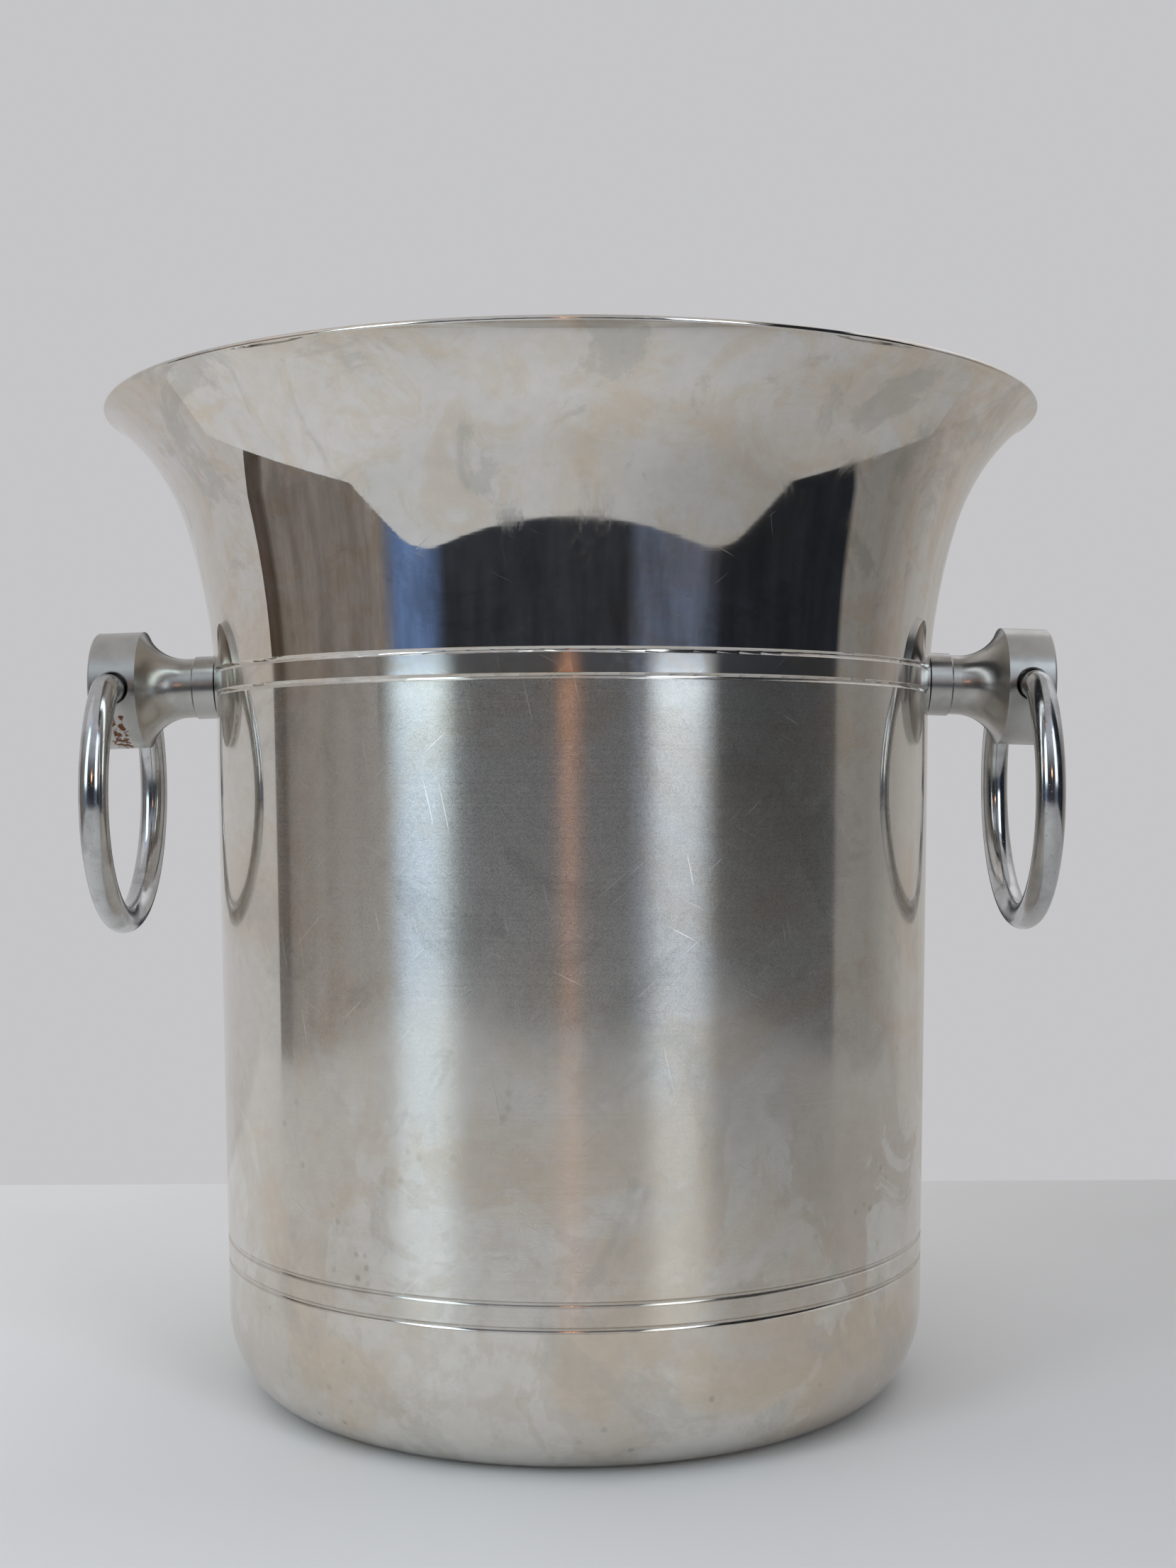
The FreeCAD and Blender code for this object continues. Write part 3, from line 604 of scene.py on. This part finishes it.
def emission_output(g, colour, strength):
    """A surface that shines by itself."""
    shader = g.node("ShaderNodeEmission")
    g.feed(shader.inputs["Color"], colour)
    g.feed(shader.inputs["Strength"], strength)
    output = g.node("ShaderNodeOutputMaterial")
    g.feed(output.inputs["Surface"], shader.outputs[0])


def turn_of(g, x, y):
    """The azimuth of a place."""
    turn = g.math("ARCTAN2", x, g.times(y, -1.0))
    return g.times(turn, 180.0 / math.pi)


def round_panel(name, azimuths, heights, material, away, floor_to=None):
    """An upright sheet bent round the object for the metal to reflect, which the camera can't see.

    With floor_to, it goes on inwards from its lower edge to that distance.
    """
    start, end = azimuths
    steps = max(4, round(abs(end - start) / 3))
    low, high = heights
    rows = [(away, high), (away, low)]
    if floor_to:
        rows.append((floor_to, low))
    points = []
    for i in range(steps + 1):
        turn = math.radians(start + (end - start) * i / steps)
        points += [(reach * math.sin(turn), -reach * math.cos(turn), height) for reach, height in rows]
    count = len(rows)
    faces = [(i * count + j, (i + 1) * count + j, (i + 1) * count + j + 1, i * count + j + 1)
             for i in range(steps) for j in range(count - 1)]
    mesh = bpy.data.meshes.new(name)
    mesh.from_pydata(points, [], faces)
    mesh.materials.append(material)
    panel = bpy.data.objects.new(name, mesh)
    bpy.context.scene.collection.objects.link(panel)
    panel.visible_camera = False
    panel.visible_shadow = False


def cloths_material():
    """Plain cloths round the front, with soft folds and a glow on their upper part."""
    material, g = new_material("surround")
    x, y, z = g.split(object_place(g))
    turn = turn_of(g, x, y)
    first, last = CLOTHS[0][0], CLOTHS[-1][1]
    edges = [(azimuth, colour) for start, end, colour in CLOTHS for azimuth in (start, end)]
    ramp = g.node("ShaderNodeValToRGB")
    g.feed(ramp.inputs[0], g.math("DIVIDE", g.minus(turn, first), last - first))
    stops = ramp.color_ramp.elements
    stops[0].color = (*edges[0][1], 1.0)
    stops[1].color = (*edges[-1][1], 1.0)
    for azimuth, colour in edges[1:-1]:
        stops.new((azimuth - first) / (last - first)).color = (*colour, 1.0)

    fade_out_from, fade_out_to, fade_in_from, fade_in_to = NO_GLOW
    glowing = g.math("MAXIMUM", g.between(turn, fade_out_to, fade_out_from),
                     g.between(turn, fade_in_from, fade_in_to))
    glow = g.times(glowing, g.between(z, *UPPER_GLOW_HEIGHTS, 0.0, UPPER_GLOW))
    glow = g.vector_math("MULTIPLY", g.grey(glow), (0.96, 1.0, 1.1))
    colour = g.blend(1.0, ramp.outputs[0], glow, kind="ADD")
    folds = g.noise(g.join(g.times(turn, 0.16), 0.0, g.times(z, 1.6)), detail=4.0, roughness=0.6)
    depth = g.mix_value(g.between(turn, *PALE_FROM), DARK_FOLDS, PALE_FOLDS)
    folds = g.times(g.between(folds, 0.3, 0.7, -1.0, 1.0), depth)
    emission_output(g, colour, g.plus(1.1, folds))
    return material


def lit_sheet_material(name, colour, azimuths, heights, edge, middle):
    """A lit sheet that fades over its outer degrees, with a brighter middle if one is given."""
    material, g = new_material(name)
    x, y, z = g.split(object_place(g))
    turn = turn_of(g, x, y)
    start, end = azimuths
    low, high = heights
    rise = (high - low) * 0.12
    share = g.times(g.between(turn, start, start + edge), g.between(turn, end, end - edge))
    share = g.times(share, g.between(z, low, low + rise), g.between(z, high, high - rise))
    if middle:
        half_size, gain = middle
        aside = g.size(g.minus(turn, (start + end) / 2))
        above = g.size(g.minus(z, (low + high) / 2))
        above = g.times(above, half_size / BRIGHT_MIDDLE_HEIGHT)
        spot = g.between(g.math("MAXIMUM", aside, above), half_size, half_size * 0.5)
        share = g.plus(share, g.times(spot, gain))
    emission_output(g, (*colour, 1.0), share)
    return material


def back_cloth_material():
    """A dark cloth behind the object that fades into the room, so that its back reads as metal."""
    material, g = new_material("back_cloth")
    x, y, z = g.split(object_place(g))
    half = (BACK_CLOTH_AZIMUTHS[1] - BACK_CLOTH_AZIMUTHS[0]) / 2
    top = BACK_CLOTH_HEIGHTS[1]
    from_back = g.times(g.math("ARCTAN2", x, y), 180.0 / math.pi)
    share = g.between(g.size(from_back), half, half * 0.35)
    share = g.times(share, g.between(z, top, top * 0.6))
    emission_output(g, g.blend(share, (*WORLD_LIGHT, 1.0), BACK_CLOTH_COLOUR), 1.0)
    return material


def table_material():
    """Pale cloth. It is painted darker towards the front and the right, as light falls off there."""
    material, g = new_material("table_cloth")
    place = object_place(g)
    x, y, _ = g.split(place)
    weave = g.noise(g.stretch(place, (900.0, 900.0, 1.0)))
    colour = g.blend(g.stain(place, (0.35, 0.7), scale=5.0), *TABLE_COLOURS)
    fade = g.times(g.between(y, *FADE_TO_FRONT), g.between(x, *FADE_TO_RIGHT))
    colour = g.blend(1.0, colour, g.grey(fade), kind="MULTIPLY")
    finish_surface(g, colour, TABLE_ROUGHNESS, normal=g.bump(weave, 0.00002), metallic=0.0)
    return material


def table_outline():
    """A rectangle with its two front corners rounded."""
    outline = [(-TABLE_HALF_WIDTH, TABLE_BACK)]
    for side, start in ((-1, 180), (1, 270)):
        centre_x = side * (TABLE_HALF_WIDTH - TABLE_CORNER)
        centre_y = TABLE_FRONT + TABLE_CORNER
        for step in range(TABLE_CORNER_STEPS + 1):
            turn = math.radians(start + 90 * step / TABLE_CORNER_STEPS)
            outline.append((centre_x + TABLE_CORNER * math.cos(turn),
                            centre_y + TABLE_CORNER * math.sin(turn)))
    outline.append((TABLE_HALF_WIDTH, TABLE_BACK))
    return outline


def make_table():
    """A slab with its top at the object's foot."""
    outline = table_outline()
    count = len(outline)
    points = [(x, y, 0.0) for x, y in outline] + [(x, y, -TABLE_THICK) for x, y in outline]
    faces = [tuple(range(count)), tuple(reversed(range(count, 2 * count)))]
    faces += [(i, i + count, (i + 1) % count + count, (i + 1) % count) for i in range(count)]
    mesh = bpy.data.meshes.new("table")
    mesh.from_pydata(points, [], faces)
    mesh.materials.append(table_material())
    table = bpy.data.objects.new("table", mesh)
    bpy.context.scene.collection.objects.link(table)


def make_world():
    world = bpy.data.worlds.new("soft_light")
    bpy.context.scene.world = world
    world.use_nodes = True
    g = Graph(world.node_tree)
    background = g.node("ShaderNodeBackground")
    background.inputs["Color"].default_value = (*WORLD_LIGHT, 1.0)
    output = g.node("ShaderNodeOutputWorld")
    g.feed(output.inputs["Surface"], background.outputs[0])


def make_top_light():
    """One large soft light from above that the metal doesn't mirror."""
    light = bpy.data.lights.new("soft_top", "AREA")
    light.shape = "SQUARE"
    light.size = TOP_LIGHT_SIZE
    light.energy = TOP_LIGHT_WATTS
    top = bpy.data.objects.new("soft_top", light)
    top.location = TOP_LIGHT_PLACE
    top.visible_camera = False
    top.visible_glossy = False
    bpy.context.scene.collection.objects.link(top)


def make_studio():
    make_world()
    make_table()
    round_panel("surround", (CLOTHS[0][0], CLOTHS[-1][1]), CLOTH_HEIGHTS, cloths_material(),
                SCREEN_AWAY, floor_to=CLOTHS_IN_TO)
    for name, azimuths, heights, colour, edge, middle in LIT_SHEETS:
        material = lit_sheet_material(name, colour, azimuths, heights, edge, middle)
        round_panel(name, azimuths, heights, material, LIT_SHEETS_AWAY)
    round_panel("back_cloth", BACK_CLOTH_AZIMUTHS, BACK_CLOTH_HEIGHTS, back_cloth_material(),
                SCREEN_AWAY)
    make_top_light()


make_camera()
dress_nodes()
make_studio()
bpy.context.scene.view_settings.view_transform = "Standard"
